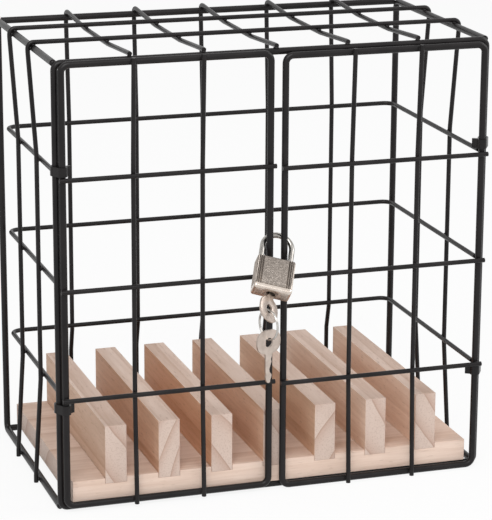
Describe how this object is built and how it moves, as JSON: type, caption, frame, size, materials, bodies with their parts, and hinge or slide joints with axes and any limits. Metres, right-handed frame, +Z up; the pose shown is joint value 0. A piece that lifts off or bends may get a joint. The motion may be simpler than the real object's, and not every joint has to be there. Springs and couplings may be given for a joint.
{
  "type": "phone lock cage",
  "caption": "Lockable wire cage for storing mobile phones on edge, with two hinged doors, a slotted wooden rack, and a padlock with keys on a split ring.",
  "frame": {"origin": "on the standing plane, under the middle of the whole object's bounding box", "axes": "+Z up, +X to the right seen from the front, +Y from the doors to the back"},
  "size_m": [0.2446, 0.1714, 0.2441],
  "materials": {
    "black_coat": "satin black powder coat on wire",
    "board_pine": "bare sanded pine",
    "divider_pine": "bare sanded pine, pinkish",
    "padlock_silver": "satin, ribbed sides",
    "polished_steel": "polished",
    "plug_brass": "satin",
    "key_nickel": "nickel plated"
  },
  "bodies": {
    "cage": {"front_frame": "black_coat", "left_side_frame": "black_coat", "right_side_frame": "black_coat", "back_top_bar": "black_coat", "back_bottom_bar": "black_coat", "front_hoop": "black_coat", "rear_hoop": "black_coat", "back_wire_1": "black_coat", "back_wire_2": "black_coat", "back_wire_3": "black_coat", "back_wire_4": "black_coat", "back_wire_5": "black_coat", "belt_1": "black_coat", "belt_2": "black_coat", "belt_3": "black_coat", "base_board": "board_pine", "divider_1": "divider_pine", "divider_2": "divider_pine", "divider_3": "divider_pine", "divider_4": "divider_pine", "divider_5": "divider_pine", "divider_6": "divider_pine", "divider_7": "divider_pine"},
    "left_door": {"left_door_loop": "black_coat", "left_door_upright_1": "black_coat", "left_door_upright_2": "black_coat", "left_door_rail_1": "black_coat", "left_door_rail_2": "black_coat", "left_door_rail_3": "black_coat", "left_upper_clip": "black_coat", "left_lower_clip": "black_coat"},
    "right_door": {"right_door_loop": "black_coat", "right_door_upright_1": "black_coat", "right_door_upright_2": "black_coat", "right_door_rail_1": "black_coat", "right_door_rail_2": "black_coat", "right_door_rail_3": "black_coat", "right_upper_clip": "black_coat", "right_lower_clip": "black_coat"},
    "padlock": {"padlock_body": "padlock_silver", "padlock_cap": "polished_steel"},
    "shackle": {"padlock_shackle": "polished_steel"},
    "plug": {"padlock_plug": "plug_brass"},
    "inserted_key": {"key_1": "key_nickel"},
    "split_ring": {"key_ring": "key_nickel"},
    "spare_key": {"key_2": "key_nickel"}
  },
  "joints": [
    {"name": "left_door_hinge", "type": "hinge", "parent": "cage", "child": "left_door", "pos_m": [-0.118, -0.04859, 0.1208], "axis": [0, 0, -1], "range_deg": [0, 160]},
    {"name": "right_door_hinge", "type": "hinge", "parent": "cage", "child": "right_door", "pos_m": [0.118, -0.04859, 0.1208], "axis": [0, 0, 1], "range_deg": [0, 160]},
    {"name": "padlock_swing", "type": "hinge", "parent": "left_door", "child": "padlock", "pos_m": [0, -0.04839, 0.1403], "axis": [-1, 0, 0], "range_deg": [0, 30]},
    {"name": "shackle_lift", "type": "slide", "parent": "padlock", "child": "shackle", "axis": [0.342, 0.6528, 0.676], "range_m": [0, 0.006]},
    {"name": "key_turn", "type": "hinge", "parent": "padlock", "child": "plug", "pos_m": [0, -0.05312, 0.1354], "axis": [0.342, 0.6528, 0.676], "range_deg": [0, 90]},
    {"name": "key_pull", "type": "slide", "parent": "plug", "child": "inserted_key", "axis": [-0.342, -0.6528, -0.676], "range_m": [0, 0.024]},
    {"name": "ring_swing", "type": "hinge", "parent": "inserted_key", "child": "split_ring", "pos_m": [-0.01279, -0.07753, 0.10962], "axis": [0.9511, 0.309, 0], "range_deg": [-12, 12]},
    {"name": "spare_key_swing", "type": "hinge", "parent": "split_ring", "child": "spare_key", "pos_m": [-0.01279, -0.07753, 0.09362], "axis": [-0.309, 0.9511, 0], "range_deg": [-25, 25]}
  ]
}
